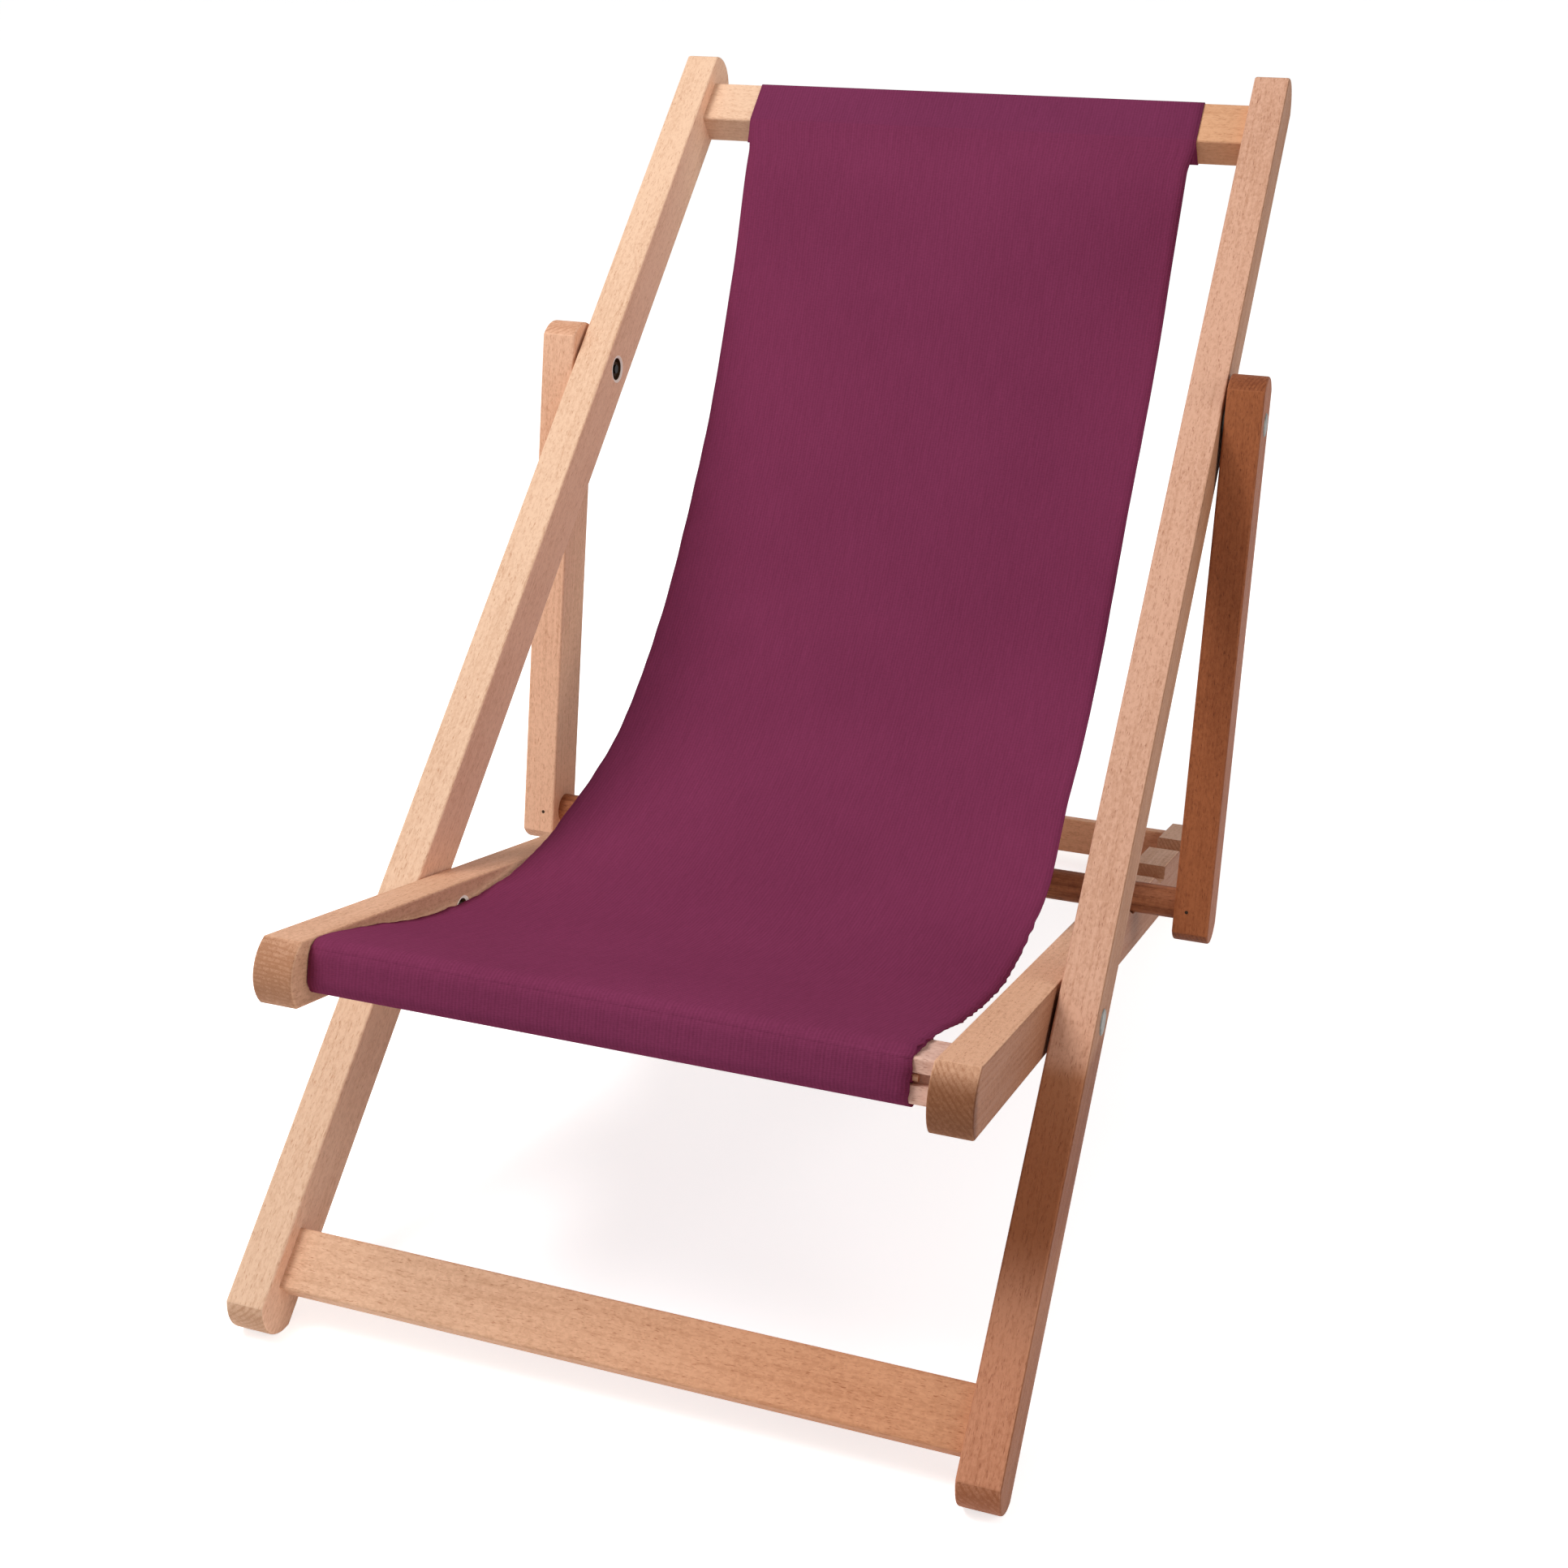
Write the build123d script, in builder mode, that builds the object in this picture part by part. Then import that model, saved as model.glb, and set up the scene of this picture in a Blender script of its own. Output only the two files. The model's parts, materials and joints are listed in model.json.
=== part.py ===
from build123d import *

import os
from math import acos, asin, atan2, cos, degrees, hypot, radians, sin

# A folding wooden deck chair with a hanging fabric sling, in millimetres.
# X runs across the chair, the sitter faces -Y and Z is up. The origin is on the floor, under the
# middle of the frame. A back frame of two long rails carries a seat frame at its lower pivots and
# a prop frame at its upper pivots. The prop frame's round bar stands in a notch of the seat rails.

# Rail stock
rail_depth = 48
rail_thickness = 31
edge_round = 2
end_sagitta = 12
washer_gap = 2.5
floor_flat = 1.5

# Back frame: the rails are measured from the foot end
back_rail_length = 1256
lower_pivot_reach = 346
pivot_spacing = 536
top_bar_height = 46
top_bar_thickness = 31
top_bar_drop = 32
top_bar_setback = 14
front_plank_height = 46
front_plank_thickness = 20
front_plank_rise = 31
front_plank_setback = 12.5

# Seat frame: the rails are measured from the lower pivot
seat_front_reach = 257
seat_rear_reach = 774
front_bar_width = 48
front_bar_height = 31
front_bar_setback = 23.5
front_bar_drop = 5
slot_height = 8.5
slot_depth = 8.5
slot_drop = 10
rear_bar_height = 35
rear_bar_thickness = 20
rear_bar_reach = 740
rear_bar_drop = 4.5
notch_count = 3
notch_reach = 354
notch_pitch = 155
notch_depth = 12
notch_floor = 25
notch_ramp = 37

# Prop frame: the rails are measured from the round bar
prop_spacing = 418.6
prop_top_reach = 40
prop_foot_reach = 31
prop_bar_diameter = 27
tenon_diameter = 20
tenon_length = 22
pin_diameter = 3
pin_length = 30

# Pivot bolts, nuts and washers
bolt_diameter = 8
bolt_head_diameter = 20
bolt_head_height = 3
bolt_head_round = 1.5
head_recess_depth = 2
nut_width = 13
nut_height = 6.5
nut_recess_diameter = 20
nut_recess_depth = 9
recess_chamfer = 1
bolt_overrun = 1.5
washer_diameter = 22

# Hidden dowels that join the crossbars to the rails
dowel_diameter = 8
dowel_in_rail = 15
dowel_in_bar = 23
dowel_spacing = 20
narrow_dowel_spacing = 16

# Sling: the frames are as wide as the sling and the gaps beside it ask
sling_end_width = 426
sling_side_gap = 12.5
sling_waist_width = 412
cloth_thickness = 1.2
rod_diameter = 5
front_run_end_shares = (0.110, 0.125)
bowl_end_shares = (0.425, 0.260)
sling_leave_angle = 36

# Clearances
running_clearance = 0.08
fixed_clearance = 0.05
seat_clearance = 0.2
socket_end_clearance = 0.5
cloth_clearance = 0.3

sides = (("left", -1), ("right", 1))
half_depth = rail_depth / 2
end_radius = (half_depth**2 + end_sagitta**2) / (2 * end_sagitta)

# Distances of the rails' inner faces from the centre plane
seat_inner = sling_end_width / 2 + sling_side_gap
back_inner = seat_inner + rail_thickness + washer_gap
back_outer = back_inner + rail_thickness
prop_inner = back_outer + washer_gap

# The round bar rests on the floor of the first notch, against its upright rear wall
prop_bar_radius = prop_bar_diameter / 2
bar_along_seat = notch_reach - prop_bar_radius - seat_clearance
bar_above_seat = half_depth - notch_depth + prop_bar_radius + seat_clearance
bar_reach = hypot(bar_along_seat, bar_above_seat)

# The lower pivot, upper pivot and round bar make a triangle of fixed sides, which sets the angle
# between the seat rails and the back rails
opening_cosine = (pivot_spacing**2 + bar_reach**2 - prop_spacing**2) / (2 * pivot_spacing * bar_reach)
opening = acos(opening_cosine) + atan2(bar_above_seat, bar_along_seat)

# The lower rear corners of the back rails' feet and of the seat rails' rear ends stand on one floor
foot_run = lower_pivot_reach - end_sagitta
rear_run = seat_rear_reach - end_sagitta
foot_arm = hypot(foot_run, half_depth)
rear_arm = hypot(rear_run, half_depth)
foot_corner_angle = atan2(half_depth, foot_run)
rear_corner_angle = atan2(half_depth, rear_run)
spread = opening + foot_corner_angle + rear_corner_angle
lean = atan2(rear_arm * sin(spread), foot_arm + rear_arm * cos(spread)) - foot_corner_angle
slope = opening - lean

# The lower pivot's place, with the origin midway between the foremost and rearmost points
foot_length_to_arc = lower_pivot_reach - end_radius
rear_length_to_arc = seat_rear_reach - end_radius
pivot_y = (foot_length_to_arc * cos(lean) - rear_length_to_arc * cos(slope)) / 2
pivot_z = foot_arm * sin(lean + foot_corner_angle) - floor_flat

# Side planes of the three frames: x along the rails, y square to them on the sitter's side
back_side = Plane(origin=(0, pivot_y, pivot_z), x_dir=(0, cos(lean), sin(lean)), z_dir=(1, 0, 0))
seat_side = Plane(origin=(0, pivot_y, pivot_z), x_dir=(0, cos(slope), -sin(slope)), z_dir=(1, 0, 0))
upper_pivot = back_side.from_local_coords(Vector(pivot_spacing, 0, 0))
prop_bar_centre = seat_side.from_local_coords(Vector(bar_along_seat, bar_above_seat, 0))
prop_side = Plane(origin=prop_bar_centre, x_dir=upper_pivot - prop_bar_centre, z_dir=(1, 0, 0))

# Crossbar centres in their frames' side planes
top_bar_centre = (
    back_rail_length - lower_pivot_reach - top_bar_drop - top_bar_height / 2,
    half_depth - top_bar_setback - top_bar_thickness / 2,
)
front_plank_centre = (
    front_plank_rise + front_plank_height / 2 - lower_pivot_reach,
    half_depth - front_plank_setback - front_plank_thickness / 2,
)
front_bar_centre = (
    front_bar_setback + front_bar_width / 2 - seat_front_reach,
    half_depth - front_bar_drop - front_bar_height / 2,
)
rear_bar_centre = (
    rear_bar_reach - rear_bar_thickness / 2,
    half_depth - rear_bar_drop - rear_bar_height / 2,
)

# Dowel places at the end of each crossbar
top_bar_dowel_places = [(top_bar_centre[0] + k * dowel_spacing / 2, top_bar_centre[1]) for k in (-1, 1)]
plank_dowel_places = [
    (front_plank_centre[0] + k * dowel_spacing / 2, front_plank_centre[1]) for k in (-1, 1)
]
front_bar_dowel_places = [
    (front_bar_centre[0] + k * dowel_spacing / 2, front_bar_centre[1]) for k in (-1, 1)
]
rear_bar_dowel_places = [
    (rear_bar_centre[0], rear_bar_centre[1] + k * narrow_dowel_spacing / 2) for k in (-1, 1)
]

os.makedirs("parts", exist_ok=True)


def save(piece, name):
    piece.part.label = name
    export_step(piece.part, f"parts/{name}.step")


def rail_outline(start, end):
    """The side view of a rail: straight edges and gently rounded ends."""
    with BuildLine() as outline:
        Line((start + end_sagitta, -half_depth), (end - end_sagitta, -half_depth))
        ThreePointArc((end - end_sagitta, -half_depth), (end, 0), (end - end_sagitta, half_depth))
        Line((end - end_sagitta, half_depth), (start + end_sagitta, half_depth))
        ThreePointArc((start + end_sagitta, half_depth), (start, 0), (start + end_sagitta, -half_depth))
    make_face(outline.edges())


def sink(plane, radius, depth, places):
    """Round holes of one depth, cut from a plane into the piece being built."""
    with BuildSketch(plane) as holes:
        with Locations(*places):
            Circle(radius)
    extrude(holes.sketch, amount=depth, mode=Mode.SUBTRACT)


def crossbar(plane, centre, width, height, half_length):
    """A straight bar with softened long edges between two rails."""
    with BuildSketch(plane.offset(-half_length)) as section:
        with Locations(centre):
            RectangleRounded(width, height, edge_round)
    extrude(section.sketch, amount=2 * half_length)


def dowel_sockets(plane, places, half_length):
    """Dowel holes in both ends of a crossbar."""
    for _, side in sides:
        sink(
            plane.offset(side * half_length),
            dowel_diameter / 2 + fixed_clearance,
            -side * (dowel_in_bar + socket_end_clearance),
            places,
        )


def dowel_set(plane, places, half_length):
    """The dowels of one crossbar, half in the bar and half in the rails."""
    for _, side in sides:
        with BuildSketch(plane.offset(side * (half_length - dowel_in_bar))) as section:
            with Locations(*places):
                Circle(dowel_diameter / 2)
        extrude(section.sketch, amount=side * (dowel_in_bar + dowel_in_rail))


# Back rails: one recess for the nut of the upper pivot inside, one for the lower bolt head outside
dowel_radius_in_rail = dowel_diameter / 2 + fixed_clearance
rail_socket_depth = dowel_in_rail + socket_end_clearance
bolt_radius = bolt_diameter / 2
recess_radius = nut_recess_diameter / 2
head_recess_radius = bolt_head_diameter / 2 + fixed_clearance

for side_name, side in sides:
    inner = back_side.offset(side * back_inner)
    outer = back_side.offset(side * back_outer)
    with BuildPart() as back_rail:
        with BuildSketch(inner):
            rail_outline(-lower_pivot_reach, back_rail_length - lower_pivot_reach)
        extrude(amount=side * rail_thickness)
        fillet(back_rail.edges(), radius=edge_round)
        split(bisect_by=Plane.XY, keep=Keep.TOP)
        sink(inner, bolt_radius + fixed_clearance, side * rail_thickness, [(0, 0), (pivot_spacing, 0)])
        sink(inner, recess_radius, side * nut_recess_depth, [(pivot_spacing, 0)])
        mouth = back_rail.edges().filter_by(GeomType.CIRCLE).filter_by(
            lambda edge: abs(edge.radius - recess_radius) < fixed_clearance
            and abs(edge.arc_center.X - side * back_inner) < fixed_clearance
        )
        chamfer(mouth, length=recess_chamfer)
        sink(outer, head_recess_radius, -side * head_recess_depth, [(0, 0)])
        sink(
            inner,
            dowel_radius_in_rail,
            side * rail_socket_depth,
            top_bar_dowel_places + plank_dowel_places,
        )
    save(back_rail, f"back_rail_{side_name}")

# Top bar and front plank
with BuildPart() as top_bar:
    crossbar(back_side, top_bar_centre, top_bar_height, top_bar_thickness, back_inner)
    dowel_sockets(back_side, top_bar_dowel_places, back_inner)
save(top_bar, "top_bar")

with BuildPart() as top_bar_dowels:
    dowel_set(back_side, top_bar_dowel_places, back_inner)
save(top_bar_dowels, "top_bar_dowels")

with BuildPart() as front_plank:
    crossbar(back_side, front_plank_centre, front_plank_height, front_plank_thickness, back_inner)
    dowel_sockets(back_side, plank_dowel_places, back_inner)
save(front_plank, "front_plank")

with BuildPart() as front_plank_dowels:
    dowel_set(back_side, plank_dowel_places, back_inner)
save(front_plank_dowels, "front_plank_dowels")

# Seat rails: a saw-tooth row of notches on top, and a nut recess inside at the lower pivot
notch_top = half_depth + notch_depth
for side_name, side in sides:
    inner = seat_side.offset(side * seat_inner)
    with BuildPart() as seat_rail:
        with BuildSketch(inner):
            rail_outline(-seat_front_reach, seat_rear_reach)
        extrude(amount=side * rail_thickness)
        fillet(seat_rail.edges(), radius=edge_round)
        split(bisect_by=Plane.XY, keep=Keep.TOP)
        with BuildSketch(inner):
            for notch in range(notch_count):
                wall = notch_reach + notch * notch_pitch
                with BuildLine():
                    Polyline(
                        (wall, notch_top),
                        (wall, half_depth - notch_depth),
                        (wall - notch_floor, half_depth - notch_depth),
                        (wall - notch_floor - notch_ramp, half_depth),
                        (wall - notch_floor - notch_ramp, notch_top),
                        close=True,
                    )
                make_face()
        extrude(amount=side * rail_thickness, mode=Mode.SUBTRACT)
        sink(inner, bolt_radius + running_clearance, side * rail_thickness, [(0, 0)])
        sink(inner, recess_radius, side * nut_recess_depth, [(0, 0)])
        mouth = seat_rail.edges().filter_by(GeomType.CIRCLE).filter_by(
            lambda edge: abs(edge.radius - recess_radius) < fixed_clearance
            and abs(edge.arc_center.X - side * seat_inner) < fixed_clearance
        )
        chamfer(mouth, length=recess_chamfer)
        sink(
            inner,
            dowel_radius_in_rail,
            side * rail_socket_depth,
            front_bar_dowel_places + rear_bar_dowel_places,
        )
    save(seat_rail, f"seat_rail_{side_name}")

# Front bar: a slot along its front face holds the rod of the sling
slot_centre = (
    front_bar_setback - seat_front_reach + slot_depth / 2,
    half_depth - front_bar_drop - slot_drop - slot_height / 2,
)
with BuildPart() as front_bar:
    crossbar(seat_side, front_bar_centre, front_bar_width, front_bar_height, seat_inner)
    with BuildSketch(seat_side.offset(-seat_inner)):
        with Locations(slot_centre):
            Rectangle(slot_depth, slot_height)
    extrude(amount=2 * seat_inner, mode=Mode.SUBTRACT)
    dowel_sockets(seat_side, front_bar_dowel_places, seat_inner)
save(front_bar, "front_bar")

with BuildPart() as front_bar_dowels:
    dowel_set(seat_side, front_bar_dowel_places, seat_inner)
save(front_bar_dowels, "front_bar_dowels")

with BuildPart() as rear_bar:
    crossbar(seat_side, rear_bar_centre, rear_bar_thickness, rear_bar_height, seat_inner)
    dowel_sockets(seat_side, rear_bar_dowel_places, seat_inner)
save(rear_bar, "rear_bar")

with BuildPart() as rear_bar_dowels:
    dowel_set(seat_side, rear_bar_dowel_places, seat_inner)
save(rear_bar_dowels, "rear_bar_dowels")

# Prop rails: a blind socket inside for the round bar, and a bolt head recess outside
tenon_radius = tenon_diameter / 2
for side_name, side in sides:
    inner = prop_side.offset(side * prop_inner)
    outer = prop_side.offset(side * (prop_inner + rail_thickness))
    pin_x = side * (prop_inner + tenon_length / 2)
    with BuildPart() as prop_rail:
        with BuildSketch(inner):
            rail_outline(-prop_foot_reach, prop_spacing + prop_top_reach)
        extrude(amount=side * rail_thickness)
        fillet(prop_rail.edges(), radius=edge_round)
        sink(inner, bolt_radius + running_clearance, side * rail_thickness, [(prop_spacing, 0)])
        sink(outer, head_recess_radius, -side * head_recess_depth, [(prop_spacing, 0)])
        sink(
            inner,
            tenon_radius + fixed_clearance,
            side * (tenon_length + socket_end_clearance),
            [(0, 0)],
        )
        pin_mouth = Plane(
            origin=prop_side.offset(pin_x).from_local_coords(Vector(0, half_depth, 0)),
            x_dir=(1, 0, 0),
            z_dir=prop_side.y_dir,
        )
        sink(
            pin_mouth,
            pin_diameter / 2 + fixed_clearance,
            -(pin_length + socket_end_clearance),
            [(0, 0)],
        )
    save(prop_rail, f"prop_rail_{side_name}")

# Round bar of the prop frame, turned down to a tenon at each end
tenon_tip = prop_inner + tenon_length
with BuildPart() as prop_bar:
    with BuildSketch(prop_side.offset(-prop_inner)):
        Circle(prop_bar_radius)
    extrude(amount=2 * prop_inner)
    with BuildSketch(prop_side.offset(-tenon_tip)):
        Circle(tenon_radius)
    extrude(amount=2 * tenon_tip)
    for _, side in sides:
        pin_x = side * (prop_inner + tenon_length / 2)
        pin_mouth = Plane(
            origin=prop_side.offset(pin_x).from_local_coords(Vector(0, half_depth, 0)),
            x_dir=(1, 0, 0),
            z_dir=prop_side.y_dir,
        )
        sink(
            pin_mouth,
            pin_diameter / 2 + fixed_clearance,
            -(pin_length + socket_end_clearance),
            [(0, 0)],
        )
save(prop_bar, "prop_bar")

with BuildPart() as prop_bar_pins:
    for _, side in sides:
        pin_x = side * (prop_inner + tenon_length / 2)
        pin_mouth = Plane(
            origin=prop_side.offset(pin_x).from_local_coords(Vector(0, half_depth, 0)),
            x_dir=(1, 0, 0),
            z_dir=prop_side.y_dir,
        )
        with BuildSketch(pin_mouth):
            Circle(pin_diameter / 2)
        extrude(amount=-pin_length)
save(prop_bar_pins, "prop_bar_pins")

# Pivot bolts: the head lies in the outer rail, the nut in a recess of the inner rail
pivots = (
    ("lower", (0, 0), seat_inner, back_outer),
    ("upper", (pivot_spacing, 0), back_inner, prop_inner + rail_thickness),
)
for pivot_name, place, nut_face, head_face in pivots:
    head_seat = head_face - head_recess_depth
    nut_seat = nut_face + nut_recess_depth
    shank_end = nut_seat - nut_height - bolt_overrun
    washer_face = nut_face + rail_thickness + running_clearance
    washer_thickness = washer_gap - 2 * running_clearance
    for side_name, side in sides:
        with BuildPart() as pivot_bolt:
            with BuildSketch(back_side.offset(side * shank_end)):
                with Locations(place):
                    Circle(bolt_radius)
            extrude(amount=side * (head_seat - shank_end))
            with BuildSketch(back_side.offset(side * head_seat)):
                with Locations(place):
                    Circle(bolt_head_diameter / 2)
            extrude(amount=side * bolt_head_height)
            head_rim = pivot_bolt.edges().filter_by(GeomType.CIRCLE).sort_by(Axis.X)[-1 if side > 0 else 0]
            fillet(head_rim, radius=bolt_head_round)
        save(pivot_bolt, f"{pivot_name}_pivot_bolt_{side_name}")

        with BuildPart() as pivot_nut:
            with BuildSketch(back_side.offset(side * nut_seat)):
                with Locations(place):
                    RegularPolygon(nut_width / 2, 6, major_radius=False)
                    Circle(bolt_radius + fixed_clearance, mode=Mode.SUBTRACT)
            extrude(amount=-side * nut_height)
        save(pivot_nut, f"{pivot_name}_pivot_nut_{side_name}")

        with BuildPart() as pivot_washer:
            with BuildSketch(back_side.offset(side * washer_face)):
                with Locations(place):
                    Circle(washer_diameter / 2)
                    Circle(bolt_radius + fixed_clearance, mode=Mode.SUBTRACT)
            extrude(amount=side * washer_thickness)
        save(pivot_washer, f"{pivot_name}_pivot_washer_{side_name}")

# Sling: looped round the top bar, hanging in a bowl, and wrapped round the front bar with its end
# held in the bar's slot by a rod
loop_inner_round = edge_round + cloth_clearance
loop_outer_round = loop_inner_round + cloth_thickness
inner_growth = 2 * cloth_clearance
outer_growth = inner_growth + 2 * cloth_thickness
wall_middle = cloth_clearance + cloth_thickness / 2
sling_half_width = sling_end_width / 2

# The cloth leaves the top bar round its lower front edge, and the front bar at its upper rear edge
turn_radius = edge_round + wall_middle
turn_centre = Vector(
    top_bar_centre[0] - top_bar_height / 2 + edge_round,
    top_bar_centre[1] + top_bar_thickness / 2 - edge_round,
    0,
)
turn = Vector(-sin(radians(sling_leave_angle)), cos(radians(sling_leave_angle)), 0)
hang_top = back_side.from_local_coords(turn_centre + turn * turn_radius)
front_bar_top = half_depth - front_bar_drop
hang_front = seat_side.from_local_coords(
    Vector(front_bar_centre[0] + front_bar_width / 2 - edge_round, front_bar_top + wall_middle, 0)
)
hang_line = hang_top - hang_front
hang_length = hang_line.length
sling_side = Plane(origin=hang_front, x_dir=hang_line, z_dir=(1, 0, 0))
front_run_end = (front_run_end_shares[0] * hang_length, -front_run_end_shares[1] * hang_length)
bowl_end = (bowl_end_shares[0] * hang_length, -bowl_end_shares[1] * hang_length)

rod_centre = (
    front_bar_setback - seat_front_reach + slot_depth - rod_diameter / 2 - cloth_thickness
    - 2 * seat_clearance,
    slot_centre[1],
)
rod_loop_radius = rod_diameter / 2 + seat_clearance + cloth_thickness
front_wall = front_bar_setback - seat_front_reach - cloth_clearance - cloth_thickness / 2

with BuildPart() as sling:
    with BuildSketch(sling_side.offset(-sling_half_width)):
        with BuildLine():
            front_run = Line((0, 0), front_run_end)
            bowl = TangentArc(front_run_end, bowl_end, tangent=front_run % 1)
            TangentArc(bowl_end, (hang_length, 0), tangent=bowl % 1)
        trace(line_width=cloth_thickness)
    extrude(amount=sling_end_width)
    with BuildSketch(back_side.offset(-sling_half_width)):
        with Locations(top_bar_centre):
            RectangleRounded(
                top_bar_height + outer_growth, top_bar_thickness + outer_growth, loop_outer_round
            )
            RectangleRounded(
                top_bar_height + inner_growth,
                top_bar_thickness + inner_growth,
                loop_inner_round,
                mode=Mode.SUBTRACT,
            )
    extrude(amount=sling_end_width)
    with BuildSketch(seat_side.offset(-sling_half_width)):
        with Locations(front_bar_centre):
            RectangleRounded(
                front_bar_width + outer_growth, front_bar_height + outer_growth, loop_outer_round
            )
            RectangleRounded(
                front_bar_width + inner_growth,
                front_bar_height + inner_growth,
                loop_inner_round,
                mode=Mode.SUBTRACT,
            )
        with Locations(((front_wall + rod_centre[0]) / 2, slot_centre[1])):
            Rectangle(rod_centre[0] - front_wall, cloth_thickness)
        with Locations(rod_centre):
            Circle(rod_loop_radius)
            Circle(rod_diameter / 2 + seat_clearance, mode=Mode.SUBTRACT)
    extrude(amount=sling_end_width)
    waist_reach = front_bar_width + top_bar_height
    with BuildSketch(Plane(origin=hang_front, x_dir=(1, 0, 0), z_dir=sling_side.y_dir)):
        with BuildLine():
            for _, side in sides:
                ThreePointArc(
                    (side * sling_end_width / 2, -waist_reach),
                    (side * sling_waist_width / 2, hang_length / 2),
                    (side * sling_end_width / 2, hang_length + waist_reach),
                )
            for end in (-waist_reach, hang_length + waist_reach):
                Line((-sling_end_width / 2, end), (sling_end_width / 2, end))
        make_face()
    extrude(amount=hang_length, both=True, mode=Mode.INTERSECT)
save(sling, "sling")

with BuildPart() as sling_rod:
    with BuildSketch(seat_side.offset(-sling_half_width)):
        with Locations(rod_centre):
            Circle(rod_diameter / 2)
    extrude(amount=sling_end_width)
save(sling_rod, "sling_rod")

# Places and angles that the joints use
fold_angle = degrees(opening)
swing_cosine = (pivot_spacing**2 + prop_spacing**2 - bar_reach**2) / (2 * pivot_spacing * prop_spacing)
swing_angle = 180 - degrees(acos(swing_cosine))
lift_angle = degrees(asin(prop_bar_diameter / bar_reach))
print("lower pivot", pivot_y, pivot_z)
print("upper pivot", upper_pivot.Y, upper_pivot.Z)
print("round bar", prop_bar_centre.Y, prop_bar_centre.Z)
print("lean", degrees(lean), "slope", degrees(slope))
print("fold to flat", fold_angle, "swing of the prop", swing_angle)
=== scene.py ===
import json
from math import atan2, ceil, cos, pi, radians, sin

import bmesh
import bpy
from mathutils import Euler, Matrix, Vector, noise
from mathutils.geometry import interpolate_bezier


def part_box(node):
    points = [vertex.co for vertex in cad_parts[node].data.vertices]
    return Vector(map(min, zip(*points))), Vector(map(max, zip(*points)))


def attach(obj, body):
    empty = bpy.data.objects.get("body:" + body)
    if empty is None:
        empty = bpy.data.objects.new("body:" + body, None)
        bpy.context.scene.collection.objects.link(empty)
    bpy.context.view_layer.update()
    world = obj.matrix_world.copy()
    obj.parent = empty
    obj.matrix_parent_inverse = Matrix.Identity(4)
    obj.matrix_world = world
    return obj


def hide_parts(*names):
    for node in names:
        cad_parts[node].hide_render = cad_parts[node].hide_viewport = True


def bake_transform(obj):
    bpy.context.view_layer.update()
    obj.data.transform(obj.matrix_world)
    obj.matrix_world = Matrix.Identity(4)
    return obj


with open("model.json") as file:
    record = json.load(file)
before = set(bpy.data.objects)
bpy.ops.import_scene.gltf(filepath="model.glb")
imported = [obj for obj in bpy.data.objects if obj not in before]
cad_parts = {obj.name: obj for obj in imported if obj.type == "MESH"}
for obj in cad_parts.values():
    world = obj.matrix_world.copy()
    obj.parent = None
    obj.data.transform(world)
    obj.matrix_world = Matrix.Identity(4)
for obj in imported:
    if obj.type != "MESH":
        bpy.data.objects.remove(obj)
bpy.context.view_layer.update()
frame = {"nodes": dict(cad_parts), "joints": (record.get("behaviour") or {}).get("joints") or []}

# Places and directions of the three frames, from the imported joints

joints = {joint["name"]: joint for joint in frame["joints"]}
lower_pivot = Vector(joints["seat_fold"]["pos_m"])
upper_pivot = Vector(joints["prop_swing"]["pos_m"])
back_along = (upper_pivot - lower_pivot).normalized()
lean = atan2(back_along.z, back_along.y)
slope = radians(joints["seat_fold"]["range_deg"][1]) - lean
back_up = Vector((0, -sin(lean), cos(lean)))
seat_along = Vector((0, cos(slope), -sin(slope)))
seat_up = Vector((0, sin(slope), cos(slope)))


def middle(node):
    low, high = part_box(node)
    return (Vector(low) + Vector(high)) / 2


round_bar = middle("prop_bar")
prop_angle = atan2(upper_pivot.z - round_bar.z, upper_pivot.y - round_bar.y)

# Camera, fitted to the photograph's edges; the image is square, and the angles are in radians

image_size = 1932
focal_pixels = 2663.8
centre_left_pixels = 8.47
centre_up_pixels = 143.42
camera_place = (0.52046, -1.59796, 1.04332)
camera_yaw = 0.33888
camera_pitch = 0.37583
sensor_width_mm = 36


def make_camera():
    camera = bpy.data.objects.new("camera", bpy.data.cameras.new("camera"))
    bpy.context.collection.objects.link(camera)
    camera.location = camera_place
    camera.rotation_euler = Euler((pi / 2 - camera_pitch, 0, camera_yaw))
    camera.data.sensor_width = sensor_width_mm
    camera.data.lens = focal_pixels / image_size * sensor_width_mm
    camera.data.shift_x = centre_left_pixels / image_size
    camera.data.shift_y = -centre_up_pixels / image_size
    bpy.context.scene.camera = camera


# Shader helpers


def add(tree, kind, inputs=None, **settings):
    """A node whose inputs are values or the sockets that feed them."""
    made = tree.nodes.new(kind)
    for name, value in settings.items():
        setattr(made, name, value)
    for key, value in (inputs or {}).items():
        if isinstance(value, bpy.types.NodeSocket):
            tree.links.new(value, made.inputs[key])
        else:
            made.inputs[key].default_value = value
    return made


def new_group(name, inputs, outputs):
    group = bpy.data.node_groups.new(name, "ShaderNodeTree")
    kinds = {"vector": "NodeSocketVector", "color": "NodeSocketColor", "float": "NodeSocketFloat"}
    for direction, sockets in (("INPUT", inputs), ("OUTPUT", outputs)):
        for socket, kind in sockets:
            group.interface.new_socket(socket, in_out=direction, socket_type=kinds[kind])
    return group, group.nodes.new("NodeGroupInput").outputs, group.nodes.new("NodeGroupOutput").inputs


def math(tree, operation, first, second=0.0):
    return add(tree, "ShaderNodeMath", {0: first, 1: second}, operation=operation).outputs[0]


def total(tree, *values):
    result = values[0]
    for value in values[1:]:
        result = math(tree, "ADD", result, value)
    return result


def stretch(tree, place, scale):
    return add(tree, "ShaderNodeVectorMath", {0: place, 1: scale}, operation="MULTIPLY").outputs[0]


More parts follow.
